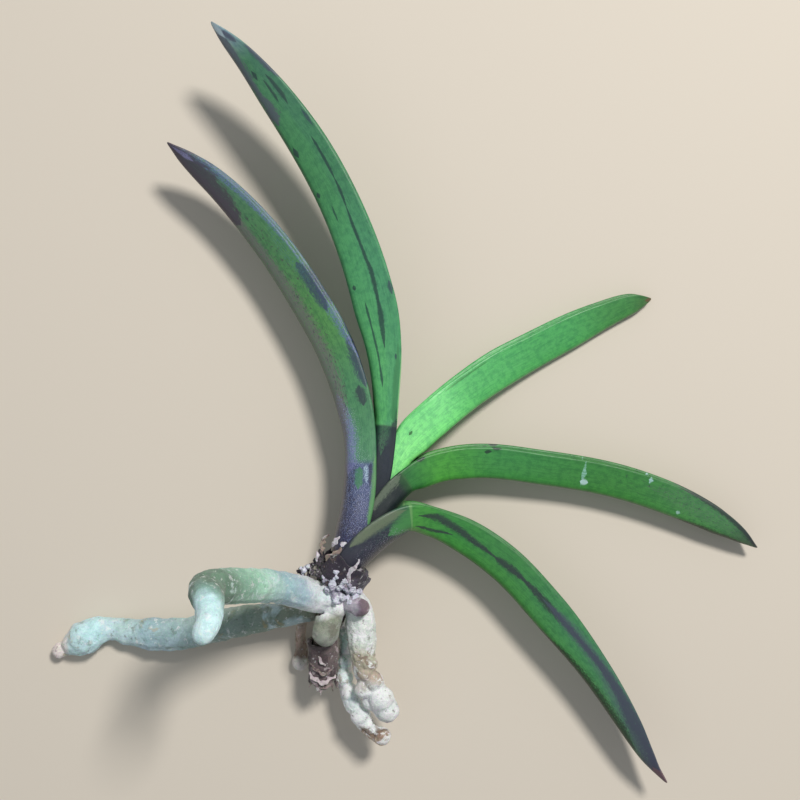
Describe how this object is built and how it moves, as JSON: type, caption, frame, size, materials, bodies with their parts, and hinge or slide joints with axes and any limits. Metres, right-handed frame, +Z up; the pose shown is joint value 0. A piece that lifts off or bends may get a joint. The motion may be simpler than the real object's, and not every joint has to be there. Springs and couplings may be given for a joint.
{
  "type": "wind orchid",
  "caption": "Small wind orchid lying on its side, bare-rooted: a fan of folded, curved, tapering leaves on a short stem with thick velvety roots.",
  "frame": {"origin": "middle of the whole plant's box, on the surface that it lies on", "axes": "+Z up from the surface; +Y from the roots toward the tips of the left leaves, the longest way; +X toward the tips of the right leaves"},
  "size_m": [0.0992, 0.1029, 0.0405],
  "materials": {
    "leaf_green": "smooth living leaf with a soft sheen and dark purple flecks",
    "leaf_bright_green": "smooth young leaf with a soft sheen",
    "leaf_purple_green": "smooth leaf, green in the middle and blue-violet along its margins and sheath",
    "root_pale_green": "velvety grey-green root skin, matt",
    "root_whitish": "knobbly whitish root skin, matt",
    "root_olive_brown": "old root skin, olive and brown, matt",
    "root_tip_purple": "young root tip, purple-brown, matt",
    "stem": "dark fibrous stem, matt",
    "dry_remains": "dry torn papery sheath, matt"
  },
  "bodies": {
    "root": {"leaf_1_right": "leaf_green", "leaf_2_left": "leaf_purple_green", "leaf_3_right": "leaf_green", "leaf_4_left": "leaf_green", "leaf_5_right": "leaf_bright_green", "root_bud": "root_tip_purple", "root_long": "root_pale_green", "root_raised": "root_pale_green", "root_right": "root_whitish", "root_right_thin": "root_whitish", "root_stub_left": "root_olive_brown", "root_stub_middle": "root_olive_brown", "sheath_remains_collar": "dry_remains", "sheath_remains_stub": "dry_remains", "stem": "stem"}
  },
  "joints": []
}
